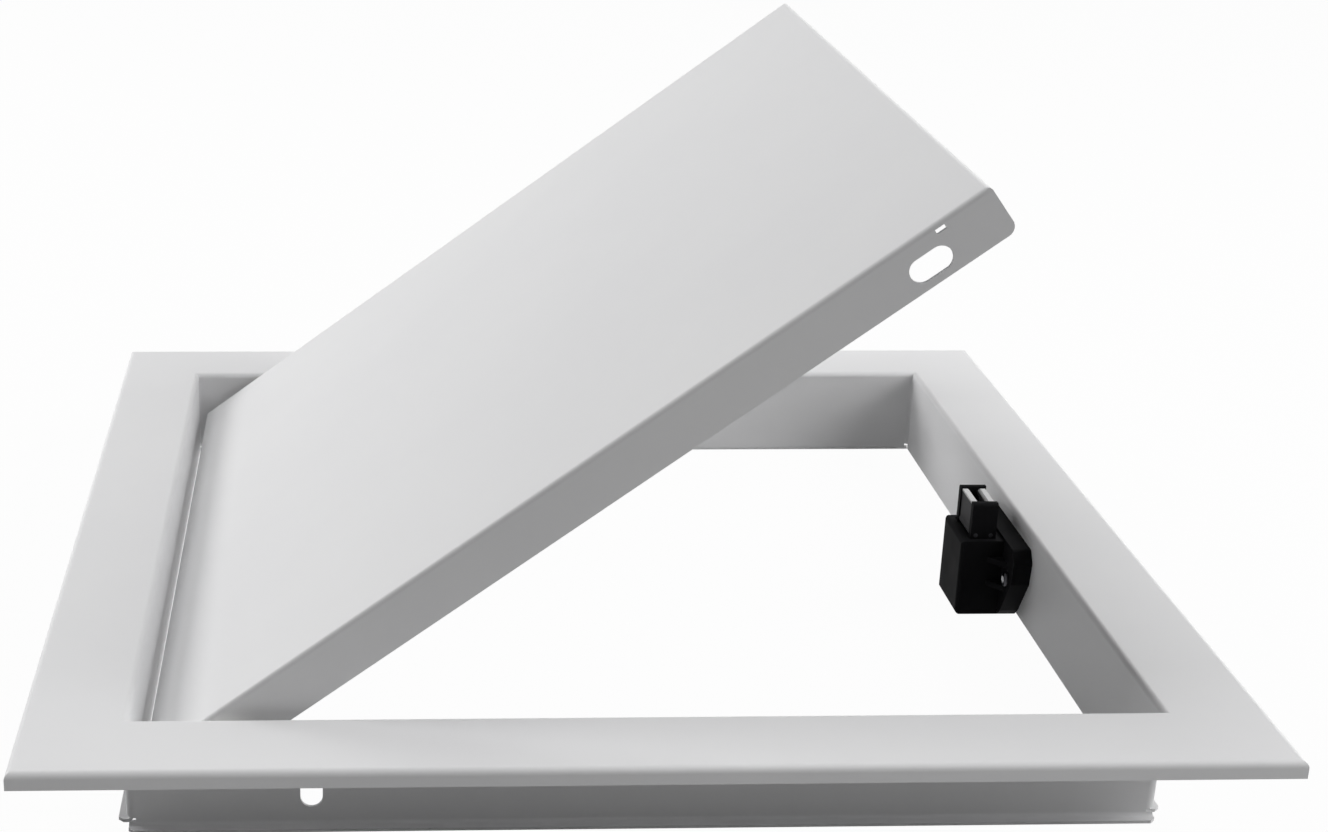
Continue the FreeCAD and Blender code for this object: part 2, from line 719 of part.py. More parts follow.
def nut(name, plane, x, y, start, bore, reverse):
    """A plain hexagon nut that starts on a plane of its own body."""
    body = new_body(name)
    hexagon = sketch_on(body, plane, name + "_hexagon", start)
    nut_outline(hexagon, x, y)
    pad(body, hexagon, D.nut_height, reverse=reverse)
    hole = sketch_on(body, plane, name + "_bore", start)
    circle(hole, x, y, bore)
    pocket(body, hole)
    return body


def strike_nuts():
    """Two nuts that clamp the strike's foot to the studs."""
    nuts = []
    start = STRIKE_FACE - D.strike_sheet
    for number_of, stud_x in enumerate(STUD_PLACES, 1):
        name = f"strike_nut_{number_of}"
        body = nut(name, "XY_Plane", stud_x, 0, start, D.stud_diameter, True)
        nuts.append(door_place(body))
    group("strike_nuts", nuts)


def hinge_pin(name, side):
    """Headed pin through the frame wall, with a groove for its clip. side is -1 or 1."""
    body = new_body(name)
    radius = D.pin_diameter / 2
    outside = HALF_Y + D.sheet
    clip_outer = DOOR_HALF - D.door_sheet - D.clip_play
    groove_outer = clip_outer + D.pin_play / 2
    groove_inner = clip_outer - D.clip_thickness - D.pin_play / 2
    end = groove_inner - D.pin_end
    profile = sketch_on(body, "YZ_Plane", name + "_profile", PIVOT_X)
    steps = [
        (end, 0), (end, radius),
        (groove_inner, radius), (groove_inner, radius - D.groove_depth),
        (groove_outer, radius - D.groove_depth), (groove_outer, radius),
        (outside, radius), (outside, D.pin_head / 2),
        (outside + D.pin_head_height - D.groove_depth, D.pin_head / 2),
        (outside + D.pin_head_height, D.pin_head / 2 - D.groove_depth),
        (outside + D.pin_head_height, 0),
    ]
    polygon(profile, [(along * side, PIVOT_Z + out) for along, out in steps])
    axis = profile.addGeometry(Part.LineSegment(
        Vector(number(end) * side, number(PIVOT_Z), 0),
        Vector(number(outside) * side, number(PIVOT_Z), 0)), True)
    pin_x(profile, axis, 1, end * side)
    pin_y(profile, axis, 1, PIVOT_Z)
    pin_x(profile, axis, 2, outside * side)
    profile.addConstraint(Sketcher.Constraint("Horizontal", axis))
    turned = body.newObject("PartDesign::Revolution", name + "_turned")
    turned.Profile = profile
    turned.ReferenceAxis = (profile, ["Axis0"])
    turned.Angle = 360
    profile.Visibility = False
    keep(name, body)


def ring(name, outer, inner, low, high):
    """A flat ring about the hinge line, between two distances along it."""
    start = (PIVOT_X, low, PIVOT_Z)
    disc = rod(name + "_disc", "y", outer, high - low, start)
    bore = rod(name + "_bore", "y", inner, high - low, start)
    return cut(name, disc, bore)


def hinge_spacer(name, side):
    """Plastic washer that keeps the door off the frame wall."""
    near, far = DOOR_HALF + D.spacer_play, HALF_Y
    low, high = (near, far) if side == REAR else (-far, -near)
    keep(name, ring(name, D.spacer_diameter, D.pin_diameter + D.pin_play * 2, low, high))


def pin_clip(name, side):
    """Open retaining ring in the pin's groove, inside the door wall."""
    far = DOOR_HALF - D.door_sheet - D.clip_play
    near = far - D.clip_thickness
    low, high = (near, far) if side == REAR else (-far, -near)
    inner = D.pin_diameter - D.groove_depth * 2 + D.pin_play * 2
    whole = ring(name + "_ring", D.clip_diameter, inner, low, high)
    mouth = block(
        name + "_mouth",
        (PIVOT_X - inner / 2, PIVOT_X + inner / 2), (low, high),
        (PIVOT_Z - D.clip_diameter, PIVOT_Z))
    keep(name, cut(name, whole, mouth))


def latch_housing():
    """Moulded catch housing: channel for the carriage, spring floor, ears and ribs."""
    body = new_body("latch_housing")
    half = D.housing_half
    channel = sketch_on(body, "XY_Plane", "housing_channel", HOUSING_BOTTOM)
    outline(channel, [CAVITY_FRONT, half, HALF_X, -half])
    pad(body, channel, HOUSING_TOP - HOUSING_BOTTOM)
    ears = sketch_on(body, "YZ_Plane", "housing_ears", EAR_FACE)
    wide = D.ear_half
    shape = [
        (wide - D.ear_round, HOUSING_TOP + D.sheet), (wide, HOUSING_TOP - D.ear_round),
        (wide - D.sheet, SCREW_Z), (half + D.ear_round, CAVITY_FLOOR),
        (half, HOUSING_BOTTOM),
    ]
    polygon(ears, shape + [(-y, z) for y, z in reversed(shape)])
    pad(body, ears, D.ear_thickness)

    def ear_corner(edge):
        return edge_along("x")(edge) and abs(edge.CenterOfMass.y) > number(half) + 1e-3

    dress(body, "Fillet", D.ear_round / 2, ear_corner)
    clear_of_head = D.screw_head / 2 + D.sheet
    low_rib = SCREW_Z - clear_of_head - D.rib_thickness
    for where, level in (("low", low_rib), ("high", SCREW_Z + clear_of_head)):
        rib = sketch_on(body, "XY_Plane", "housing_rib_" + where, level)
        for side in (FRONT, REAR):
            polygon(rib, [
                (EAR_FACE, (half + D.rib_size) * side), (EAR_FACE, (half - D.sheet) * side),
                (EAR_FACE - D.rib_size, (half - D.sheet) * side), (EAR_FACE - D.rib_size, half * side),
            ])
        pad(body, rib, D.rib_thickness)
    cavity = sketch_on(body, "XY_Plane", "housing_cavity", HOUSING_TOP)
    guide = D.carriage_width / 2 + D.carriage_play
    outline(cavity, [CAVITY_FRONT - CLEAR, guide, CAVITY_BACK, -guide])
    pocket(body, cavity, HOUSING_TOP - CAVITY_FLOOR)
    tip_z = CARRIAGE_BOTTOM + D.follower_entry
    recess = sketch_on(body, "YZ_Plane", "housing_recess", CAVITY_BACK)
    outline(recess, [-D.follower_wire, tip_z + D.follower_wire, D.follower_wire,
                     tip_z - D.follower_length - D.follower_wire])
    pocket(body, recess, D.follower_wire * 2, reverse=True)
    anchor = sketch_on(body, "YZ_Plane", "housing_anchor", CAVITY_BACK)
    reach = D.follower_wire / 2 + D.jaw_pin_play
    anchor_z = tip_z - D.follower_length
    outline(anchor, [-reach, anchor_z + reach, reach, anchor_z - reach])
    pocket(body, anchor, D.follower_wire * 4, reverse=True)
    screws = sketch_on(body, "YZ_Plane", "housing_screws", EAR_FACE)
    for place_y in (-D.screw_spread, D.screw_spread):
        circle(screws, place_y, SCREW_Z, D.screw_diameter + D.screw_play * 2)
    pocket(body, screws)
    keep("latch_housing", body)


def latch_cover():
    """Front cover that closes the housing's channel."""
    body = new_body("latch_cover")
    half = D.housing_half
    plate = sketch_on(body, "YZ_Plane", "cover_plate", CAVITY_FRONT)
    outline(plate, [-half, HOUSING_TOP, half, HOUSING_BOTTOM])
    pad(body, plate, D.cover_thickness, reverse=True)
    front = CAVITY_FRONT - D.cover_thickness
    dress(body, "Fillet", D.cover_round, lambda edge: abs(edge.CenterOfMass.x - number(front)) < 1e-3)
    keep("latch_cover", body)


def latch_carriage():
    """Sliding fork that carries the jaws, with spring pocket and follower track."""
    body = new_body("latch_carriage")
    half = D.carriage_width / 2
    fork = D.fork_width / 2
    front = sketch_on(body, "YZ_Plane", "carriage_front", CATCH_X)
    outline(front, [
        -half, CARRIAGE_TOP, -fork, FORK_FLOOR, fork, CARRIAGE_TOP, half, CARRIAGE_BOTTOM,
    ], {0: D.fork_round, 5: D.fork_round})
    pad(body, front, D.carriage_thickness, symmetric=True)
    blade = sketch_on(body, "YZ_Plane", "carriage_pusher", CATCH_X)
    reach = D.pusher_width / 2
    pusher_top = FACE - D.tongue_drop + D.catch_stroke - D.pusher_play
    outline(blade, [-reach, pusher_top, reach, FORK_FLOOR - D.sheet])
    pad(body, blade, D.pusher_thickness, symmetric=True)
    seat = sketch_on(body, "XY_Plane", "carriage_spring_pocket", CARRIAGE_BOTTOM)
    circle(seat, CATCH_X, 0, D.spring_bore)
    pocket(body, seat, D.spring_pocket, reverse=True)
    pins = sketch_on(body, "XZ_Plane", "carriage_pin_holes")
    for side in (-1, 1):
        circle(pins, CATCH_X + JAW_PIVOT_OFFSET * side, JAW_PIVOT_Z, D.jaw_pin)
    pocket(body, pins)
    track = sketch_on(body, "YZ_Plane", "carriage_track", CARRIAGE_BACK)
    narrow = D.track_width / 2
    outline(track, [-narrow, CARRIAGE_BOTTOM + D.track_length, narrow, CARRIAGE_BOTTOM - D.sheet])
    pocket(body, track, D.track_depth)
    loop = sketch_on(body, "YZ_Plane", "carriage_track_loop", CARRIAGE_BACK)
    low = CARRIAGE_BOTTOM + (D.track_length - D.track_loop_length) / 2
    for wall in (0, D.track_width):
        outline(loop, [
            wall - narrow, low + D.track_loop_length - wall,
            D.track_loop_width - narrow - wall, low + wall,
        ])
    pocket(body, loop, D.track_depth)
    keep("latch_carriage", body)


def jaw(name, side):
    """One of the two jaws: an eye on its pin, an arm, and a hook towards the middle."""
    body = new_body(name)
    top = CARRIAGE_TOP - D.jaw_top_drop
    hook = D.jaw_gap / 2
    back = hook + D.jaw_thickness
    inside = hook + D.jaw_recess
    steps = [
        (hook + D.jaw_leadin, top), (back, top), (back, JAW_PIVOT_Z), (inside, JAW_PIVOT_Z),
        (inside, top - D.jaw_hook - D.jaw_recess), (hook, top - D.jaw_hook),
        (hook, top - D.jaw_leadin),
    ]
    arm = sketch_on(body, "XZ_Plane", name + "_arm")
    polygon(arm, [(CATCH_X + across * side, height) for across, height in steps])
    pad(body, arm, D.jaw_width, symmetric=True)
    pivot_x = CATCH_X + JAW_PIVOT_OFFSET * side
    eye = sketch_on(body, "XZ_Plane", name + "_eye")
    circle(eye, pivot_x, JAW_PIVOT_Z, D.jaw_eye)
    pad(body, eye, D.jaw_width, symmetric=True)
    bore = sketch_on(body, "XZ_Plane", name + "_bore")
    circle(bore, pivot_x, JAW_PIVOT_Z, D.jaw_pin + D.jaw_pin_play * 2)
    pocket(body, bore)
    keep(name, body)


def jaw_pins():
    """Two pins across the fork, pressed into the carriage's ears."""
    half = D.carriage_width / 2
    pins = []
    for side, where in ((-1, "inner"), (1, "outer")):
        start = (CATCH_X + JAW_PIVOT_OFFSET * side, -half, JAW_PIVOT_Z)
        pins.append(rod("jaw_pin_" + where, "y", D.jaw_pin, D.carriage_width, start))
    group("jaw_pins", pins)


def latch_spring():
    """Coil spring between the housing's floor and the carriage's pocket.

    The helix is followed in short straight runs with a five-sided wire, so that the many
    turns stay light.
    """
    half_wire = number(D.spring_wire) / 2
    low = number(CAVITY_FLOOR) + half_wire
    high = number(CARRIAGE_BOTTOM + D.spring_pocket) - half_wire
    runs = round(number(D.spring_turns) * RUNS_PER_TURN)
    sections = []
    for run in range(runs + 1):
        angle = 2 * math.pi * run / RUNS_PER_TURN
        outward = Vector(math.cos(angle), math.sin(angle), 0)
        centre = Vector(number(CATCH_X), 0, low + (high - low) * run / runs)
        centre += outward * (number(D.spring_diameter) / 2)
        corners = []
        for side in range(WIRE_SIDES):
            turn = 2 * math.pi * (side + 0.5) / WIRE_SIDES
            across, up = half_wire * math.cos(turn), half_wire * math.sin(turn)
            corners.append(centre + outward * across + Vector(0, 0, up))
        sections.append(Part.makePolygon(corners + corners[:1]))
    spring = DOC.addObject("Part::Feature", "latch_spring")
    spring.Shape = Part.makeLoft(sections, True, True)
    keep("latch_spring", spring)


def cam_follower():
    """Bent flat wire: anchored in the housing, its tip in the carriage's track."""
    body = new_body("cam_follower")
    wire = D.follower_wire
    back = CAVITY_BACK + wire * 1.5
    tip_z = CARRIAGE_BOTTOM + D.follower_entry + wire / 2
    low_z = tip_z - D.follower_length - wire
    tip_x = CARRIAGE_BACK - D.track_depth + D.follower_play
    side = sketch_on(body, "XZ_Plane", "follower_side")
    outline(side, [
        tip_x, tip_z, back, low_z + wire, back + wire, low_z, back - wire, tip_z - wire,
    ])
    pad(body, side, wire, symmetric=True)
    keep("cam_follower", body)


def latch_screws():
    """Two pan-head screws through the ears and the frame wall."""
    screws = []
    grip = D.ear_thickness + D.sheet + D.nut_height + D.thread_end
    for side, where in ((FRONT, "front"), (REAR, "rear")):
        name = "latch_screw_" + where
        body = new_body(name)
        centre_y = D.screw_spread * side
        head = sketch_on(body, "YZ_Plane", name + "_head", EAR_FACE)
        circle(head, centre_y, SCREW_Z, D.screw_head)
        pad(body, head, D.screw_head_height, reverse=True)
        crown = EAR_FACE - D.screw_head_height
        dress(body, "Chamfer", D.screw_head_height / 2,
              lambda edge: abs(edge.CenterOfMass.x - number(crown)) < 1e-3)
        shank = sketch_on(body, "YZ_Plane", name + "_shank", EAR_FACE)
        circle(shank, centre_y, SCREW_Z, D.screw_diameter)
        pad(body, shank, grip)
        socket = sketch_on(body, "YZ_Plane", name + "_socket", crown)
        half = D.screw_socket
        outline(socket, [centre_y - half, SCREW_Z + half, centre_y + half, SCREW_Z - half])
        pocket(body, socket, D.screw_head_height / 2, reverse=True)
        screws.append(body)
    group("latch_screws", screws)


def latch_nuts():
    """Two nuts on the outside of the frame wall."""
    nuts = []
    for side, where in ((FRONT, "front"), (REAR, "rear")):
        name = "latch_nut_" + where
        nuts.append(nut(name, "YZ_Plane", D.screw_spread * side, SCREW_Z, HALF_X + D.sheet,
                        D.screw_diameter, False))
    group("latch_nuts", nuts)


def check_document():
    """Stop if any object failed, any cut took nothing, or any piece is not sound."""
    for thing in DOC.Objects:
        if "Invalid" in thing.State or "Error" in thing.State:
            raise RuntimeError(f"{thing.Name}: {thing.State}")
        if thing.TypeId == "PartDesign::Pocket":
            before = thing.BaseFeature.Shape.Volume
            if thing.Shape.Volume > before - 1e-3:
                raise RuntimeError(thing.Name + ": the pocket cuts nothing")
    for name, piece in NODES.items():
        shape = piece.Shape
        if shape.isNull() or not shape.isValid() or not shape.Solids:
            raise RuntimeError(name + ": no sound solid")


def main():
    end_rail("front_rail", FRONT)
    end_rail("rear_rail", REAR)
    side_rail("hinge_rail", -1, screw_holes=False)
    side_rail("latch_rail", 1, screw_holes=True)
    door_pan()
    strike()
    strike_studs()
    strike_nuts()
    for where, side in (("front", FRONT), ("rear", REAR)):
        hinge_pin("hinge_pin_" + where, side)
        hinge_spacer("hinge_spacer_" + where, side)
        pin_clip("pin_clip_" + where, side)
    latch_housing()
    latch_cover()
    latch_carriage()
    jaw("jaw_inner", -1)
    jaw("jaw_outer", 1)
    jaw_pins()
    latch_spring()
    cam_follower()
    latch_screws()
    latch_nuts()
    DOC.recompute()
    check_document()
    os.makedirs("parts", exist_ok=True)
    for name, piece in NODES.items():
        piece.Shape.exportStep(f"parts/{name}.step")
        box = piece.Shape.BoundBox
        print(f"{name}: {len(piece.Shape.Solids)} solid(s), {piece.Shape.Volume:.1f} mm3, "
              f"x {box.XMin:.1f}..{box.XMax:.1f} y {box.YMin:.1f}..{box.YMax:.1f} "
              f"z {box.ZMin:.1f}..{box.ZMax:.1f}")


main()
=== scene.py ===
import json
import math

import bpy
import numpy as np
from mathutils import Matrix, Vector


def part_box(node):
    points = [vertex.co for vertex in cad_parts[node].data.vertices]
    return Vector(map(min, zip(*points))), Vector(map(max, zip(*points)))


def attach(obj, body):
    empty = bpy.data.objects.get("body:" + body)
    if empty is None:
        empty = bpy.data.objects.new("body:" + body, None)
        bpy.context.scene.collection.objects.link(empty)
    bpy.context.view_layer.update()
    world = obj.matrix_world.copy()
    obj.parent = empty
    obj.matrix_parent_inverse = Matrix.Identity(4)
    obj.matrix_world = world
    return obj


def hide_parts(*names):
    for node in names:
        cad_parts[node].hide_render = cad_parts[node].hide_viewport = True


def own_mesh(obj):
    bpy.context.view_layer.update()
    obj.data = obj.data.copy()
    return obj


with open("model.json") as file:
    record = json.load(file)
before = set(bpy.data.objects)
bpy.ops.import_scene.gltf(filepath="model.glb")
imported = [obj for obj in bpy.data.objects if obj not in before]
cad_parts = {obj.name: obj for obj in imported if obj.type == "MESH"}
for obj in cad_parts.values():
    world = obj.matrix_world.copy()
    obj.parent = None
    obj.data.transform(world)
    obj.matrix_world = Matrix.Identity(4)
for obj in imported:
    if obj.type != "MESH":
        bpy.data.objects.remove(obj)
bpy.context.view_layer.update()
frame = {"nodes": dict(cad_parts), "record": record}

# Ceiling access panel: powder-coated steel frame and door, moulded push catch. Metres.

MM = 0.001
SCREW_TOP = (142 * MM, 19 * MM, 17 * MM)
# Radius of the painted glint on the middle of each catch screw's head.
PAINTED_GLINT_RADIUS = 1.3 * MM

# The photograph's camera, fitted to the panel's straight edges: place, turn and lens.
PHOTO_WIDTH, PHOTO_HEIGHT = 1328, 832
CAMERA_PLACE = (-84.74 * MM, -703.93 * MM, 332.44 * MM)
CAMERA_PITCH, CAMERA_YAW, CAMERA_ROLL = (math.radians(a) for a in (20.309, -2.376, -0.666))
FOCAL_PIXELS = 2164.7
VIEW_CENTRE = (440, 416)


def camera():
    """The camera: pitch down about X, inside a turn about Z, with a roll about its view."""
    turn = (Matrix.Rotation(CAMERA_YAW, 3, "Z") @ Matrix.Rotation(-CAMERA_PITCH, 3, "X")
            @ Matrix.Rotation(CAMERA_ROLL, 3, "Y"))
    right, forward, up = (turn.col[i] for i in range(3))
    axes = Matrix((right, up, -forward)).transposed().to_4x4()
    data = bpy.data.cameras.new("photo_camera")
    data.sensor_fit = "HORIZONTAL"
    data.sensor_width = 36
    data.lens = FOCAL_PIXELS / PHOTO_WIDTH * data.sensor_width
    data.shift_x = (PHOTO_WIDTH / 2 - VIEW_CENTRE[0]) / PHOTO_WIDTH
    data.shift_y = (VIEW_CENTRE[1] - PHOTO_HEIGHT / 2) / PHOTO_WIDTH
    data.clip_start, data.clip_end = 0.01, 50
    view = bpy.data.objects.new("photo_camera", data)
    view.matrix_world = Matrix.Translation(CAMERA_PLACE) @ axes
    bpy.context.scene.collection.objects.link(view)
    bpy.context.scene.camera = view


# Node groups. Each puts out colours, masks and heights that several finishes share.

class Wiring:
    """Adds nodes to a node tree and joins them by socket name."""

    def __init__(self, tree):
        self.tree = tree

    def add(self, kind, label=None, **settings):
        node = self.tree.nodes.new(kind)
        if label:
            node.label = node.name = label
        for name, value in settings.items():
            setattr(node, name, value)
        return node

    def join(self, out_node, out_name, in_node, in_name):
        self.tree.links.new(out_node.outputs[out_name], in_node.inputs[in_name])

    def noise(self, label, source, socket, scale, detail, rough):
        """A Noise node. scale is a number or a (node, socket) pair."""
        node = self.add("ShaderNodeTexNoise", label)
        if isinstance(scale, tuple):
            self.join(*scale, node, "Scale")
        else:
            node.inputs["Scale"].default_value = scale
        node.inputs["Detail"].default_value = detail
        node.inputs["Roughness"].default_value = rough
        self.join(source, socket, node, "Vector")
        return node

    def sums(self, label, operation, first, second):
        """A Math node. Each of first and second is a number or a (node, socket) pair."""
        node = self.add("ShaderNodeMath", label, operation=operation)
        for i, given in enumerate((first, second)):
            if isinstance(given, tuple):
                self.tree.links.new(given[0].outputs[given[1]], node.inputs[i])
            else:
                node.inputs[i].default_value = given
        return node

    def span(self, label, source, low, high, to_low=0.0, to_high=1.0):
        """A Map Range node from low and high to to_low and to_high."""
        node = self.add("ShaderNodeMapRange", label)
        self.tree.links.new(source[0].outputs[source[1]], node.inputs["Value"])
        for name, value in (("From Min", low), ("From Max", high), ("To Min", to_low),
                            ("To Max", to_high)):
            node.inputs[name].default_value = value
        return node


def new_group(name, inputs, outputs):
    """An empty shader node group with named value inputs and outputs."""
    tree = bpy.data.node_groups.new(name, "ShaderNodeTree")
    for label, default in inputs:
        socket = tree.interface.new_socket(label, in_out="INPUT", socket_type="NodeSocketFloat")
        socket.default_value = default
    for label in outputs:
        tree.interface.new_socket(label, in_out="OUTPUT", socket_type="NodeSocketFloat")
    wires = Wiring(tree)
    return tree, wires, wires.add("NodeGroupInput"), wires.add("NodeGroupOutput")


def powder_skin_group():
    """Powder coat: soft orange-peel height, finer grit, and a slow change of tone."""
    tree, wires, given, made = new_group(
        "powder_skin", [("Peel Size", 900.0), ("Grit Size", 5200.0), ("Tone Size", 14.0)],
        ["Height", "Tone", "Gloss Change"])
    place = wires.add("ShaderNodeTexCoord")
    peel = wires.noise("peel", place, "Object", (given, "Peel Size"), 1.5, 0.45)
    grit = wires.noise("grit", place, "Object", (given, "Grit Size"), 1.0, 0.5)
    tone = wires.noise("tone", place, "Object", (given, "Tone Size"), 3.0, 0.55)
    fine = wires.sums("fine share", "MULTIPLY", (grit, "Fac"), 0.22)
    height = wires.sums("height", "ADD", (peel, "Fac"), (fine, "Value"))
    wires.join(height, "Value", made, "Height")
    wires.join(tone, "Fac", made, "Tone")
    gloss = wires.sums("gloss", "MULTIPLY", (tone, "Fac"), (peel, "Fac"))
    wires.join(gloss, "Value", made, "Gloss Change")
    return tree


def spark_grain_group():
    """Moulded plastic: pits of a spark-eroded mould, from cells under fine noise."""
    tree, wires, given, made = new_group(
        "spark_grain", [("Grain Size", 2600.0), ("Cloud Size", 60.0)], ["Height", "Cloud"])
    place = wires.add("ShaderNodeTexCoord")
    cells = wires.add("ShaderNodeTexVoronoi", "pits", feature="F1")
    wires.join(place, "Object", cells, "Vector")
    wires.join(given, "Grain Size", cells, "Scale")
    fine = wires.noise("fine", place, "Object", 4000, 2.0, 0.6)
    cloud = wires.noise("cloud", place, "Object", (given, "Cloud Size"), 2.0, 0.5)
    mixed = wires.sums("mixed", "MULTIPLY", (cells, "Distance"), (fine, "Fac"))
    wires.join(mixed, "Value", made, "Height")
    wires.join(cloud, "Fac", made, "Cloud")
    return tree


def drawn_metal_group():
    """Drawn or rolled metal: lines stretched along one axis over a cloudy bloom."""
    tree, wires, given, made = new_group(
        "drawn_metal", [("Line Size", 2400.0), ("Bloom Size", 120.0)],
        ["Height", "Lines", "Bloom"])
    place = wires.add("ShaderNodeTexCoord")
    stretch = wires.add("ShaderNodeMapping", "stretch")
    stretch.inputs["Scale"].default_value = (1.0, 0.06, 1.0)
    wires.join(place, "Object", stretch, "Vector")
    lines = wires.noise("lines", stretch, "Vector", (given, "Line Size"), 3.0, 0.6)
    bloom = wires.noise("bloom", place, "Object", (given, "Bloom Size"), 3.0, 0.6)
    wires.join(lines, "Fac", made, "Height")
    wires.join(lines, "Fac", made, "Lines")
    wires.join(bloom, "Fac", made, "Bloom")
    return tree


POWDER_SKIN = powder_skin_group()
SPARK_GRAIN = spark_grain_group()
DRAWN_METAL = drawn_metal_group()


def finish_of(name, group, group_values, roughness, metallic=0.0):
    """A material with its Principled shader, one shared group, and nothing joined yet."""
    material = bpy.data.materials.new(name)
    material.use_nodes = True
    wires = Wiring(material.node_tree)
    shader = material.node_tree.nodes["Principled BSDF"]
    shader.inputs["Roughness"].default_value = roughness
    shader.inputs["Metallic"].default_value = metallic
    skin = wires.add("ShaderNodeGroup", group.name)
    skin.node_tree = group
    for label, value in group_values.items():
        skin.inputs[label].default_value = value
    return material, wires, shader, skin


def bump(wires, shader, source, strength, distance):
    """Feeds a height to the shader's normal. distance is in metres."""
    node = wires.add("ShaderNodeBump", "relief")
    node.inputs["Strength"].default_value = strength
    node.inputs["Distance"].default_value = distance
    wires.tree.links.new(source[0].outputs[source[1]], node.inputs["Height"])
    wires.join(node, "Normal", shader, "Normal")


def two_tones(wires, shader, source, low, high, first, second):
    """Base colour that runs from first to second as the source goes from low to high."""
    share = wires.span("tone range", source, low, high)
    mix = wires.add("ShaderNodeMix", "tones", data_type="RGBA")
    colours = [s for s in mix.inputs if s.type == "RGBA"]
    colours[0].default_value = (*first, 1)
    colours[1].default_value = (*second, 1)
    factor = next(s for s in mix.inputs if s.name == "Factor" and s.type == "VALUE")
    wires.tree.links.new(share.outputs["Result"], factor)
    result = next(s for s in mix.outputs if s.type == "RGBA")
    wires.tree.links.new(result, shader.inputs["Base Color"])


def white_powder_coat():
    """Satin white powder coat on folded sheet steel."""
    material, wires, shader, skin = finish_of(
        "white_powder_coat", POWDER_SKIN, {"Peel Size": 850.0, "Tone Size": 11.0}, 0.48)
    two_tones(wires, shader, (skin, "Tone"), 0.3, 0.7, (0.80, 0.80, 0.808), (0.83, 0.83, 0.834))
    rough = wires.span("satin", (skin, "Gloss Change"), 0.1, 0.4, 0.44, 0.54)
    wires.join(rough, "Result", shader, "Roughness")
    bump(wires, shader, (skin, "Height"), 0.12, 0.00004)
    shader.inputs["Specular IOR Level"].default_value = 0.26
    return material


def black_plastic():
    """Moulded black nylon with the fine matt grain of its mould."""
    material, wires, shader, skin = finish_of(
        "black_plastic", SPARK_GRAIN, {"Grain Size": 2600.0, "Cloud Size": 70.0}, 0.42)
    two_tones(wires, shader, (skin, "Cloud"), 0.3, 0.7, (0.0050, 0.0050, 0.0056),
              (0.0078, 0.0078, 0.0088))
    rough = wires.span("sheen", (skin, "Cloud"), 0.3, 0.7, 0.6, 0.72)
    wires.join(rough, "Result", shader, "Roughness")
    bump(wires, shader, (skin, "Height"), 0.2, 0.00003)
    shader.inputs["Specular IOR Level"].default_value = 0.04
    return material


def jaw_plastic(top):
    """Grey catch jaw with a painted highlight: its top, above the height top, is painted bright over
    dark sides.
    """
    material, wires, shader, skin = finish_of(
        "jaw_grey", SPARK_GRAIN, {"Grain Size": 2200.0, "Cloud Size": 90.0}, 0.6)
    place = wires.add("ShaderNodeTexCoord")
    split = wires.add("ShaderNodeSeparateXYZ")
    wires.join(place, "Object", split, "Vector")
    # Painted highlight: the band just under the jaw's top is painted near-white (0.8) and the sides
    # below it dark (0.05), with the edge roughened by the cloud noise.
    ragged = wires.sums("ragged", "MULTIPLY", (skin, "Cloud"), 0.0003)
    height = wires.sums("painted highlight height", "ADD", (split, "Z"), (ragged, "Value"))
    two_tones(wires, shader, (height, "Value"), top - 0.0008, top - 0.0002,
              (0.05, 0.05, 0.052), (0.8, 0.8, 0.8))
    bump(wires, shader, (skin, "Height"), 0.15, 0.00002)
    shader.inputs["Specular IOR Level"].default_value = 0.12
    return material


def zinc_plate():
    """Bright zinc plate with faint drawing lines and a cloudy blue-grey bloom."""
    material, wires, shader, skin = finish_of(
        "zinc_plate", DRAWN_METAL, {"Line Size": 2600.0, "Bloom Size": 150.0}, 0.3, 1.0)
    two_tones(wires, shader, (skin, "Bloom"), 0.3, 0.7, (0.62, 0.635, 0.66), (0.74, 0.74, 0.72))
    rough = wires.span("plate", (skin, "Lines"), 0.3, 0.7, 0.24, 0.4)
    wires.join(rough, "Result", shader, "Roughness")
    bump(wires, shader, (skin, "Height"), 0.2, 0.00002)
    return material


def black_zinc(head):
    """Black passivated zinc plate, with a painted highlight, a near-white glint, round the middle of
    a screw's head.

    head is that place on one screw; its pair lies the same way across y = 0.
    """
    material, wires, shader, skin = finish_of(
        "black_zinc", DRAWN_METAL, {"Line Size": 2600.0, "Bloom Size": 180.0}, 0.34, 1.0)
    place = wires.add("ShaderNodeTexCoord")
    folded = wires.add("ShaderNodeVectorMath", "both screws as one", operation="ABSOLUTE")
    wires.join(place, "Object", folded, "Vector")
    reach = wires.add("ShaderNodeVectorMath", "from the head", operation="DISTANCE")
    wires.tree.links.new(folded.outputs["Vector"], reach.inputs[0])
    reach.inputs[1].default_value = head
    # Painted glint: near-white within the radius round the head's middle, black zinc outside it.
    two_tones(wires, shader, (reach, "Value"), PAINTED_GLINT_RADIUS, PAINTED_GLINT_RADIUS * 1.15,
              (0.86, 0.86, 0.87), (0.05, 0.05, 0.055))
    rough = wires.span("passivated", (skin, "Lines"), 0.3, 0.7, 0.28, 0.44)
    wires.join(rough, "Result", shader, "Roughness")
    bump(wires, shader, (skin, "Height"), 0.2, 0.00002)
    return material


def spring_steel():
    """Dark drawn steel wire and clip stock."""
    material, wires, shader, skin = finish_of(
        "spring_steel", DRAWN_METAL, {"Line Size": 3400.0, "Bloom Size": 220.0}, 0.32, 1.0)
    two_tones(wires, shader, (skin, "Bloom"), 0.3, 0.7, (0.36, 0.355, 0.35), (0.5, 0.49, 0.475))
    rough = wires.span("drawn", (skin, "Lines"), 0.3, 0.7, 0.26, 0.42)
    wires.join(rough, "Result", shader, "Roughness")
    bump(wires, shader, (skin, "Height"), 0.2, 0.00002)
    return material


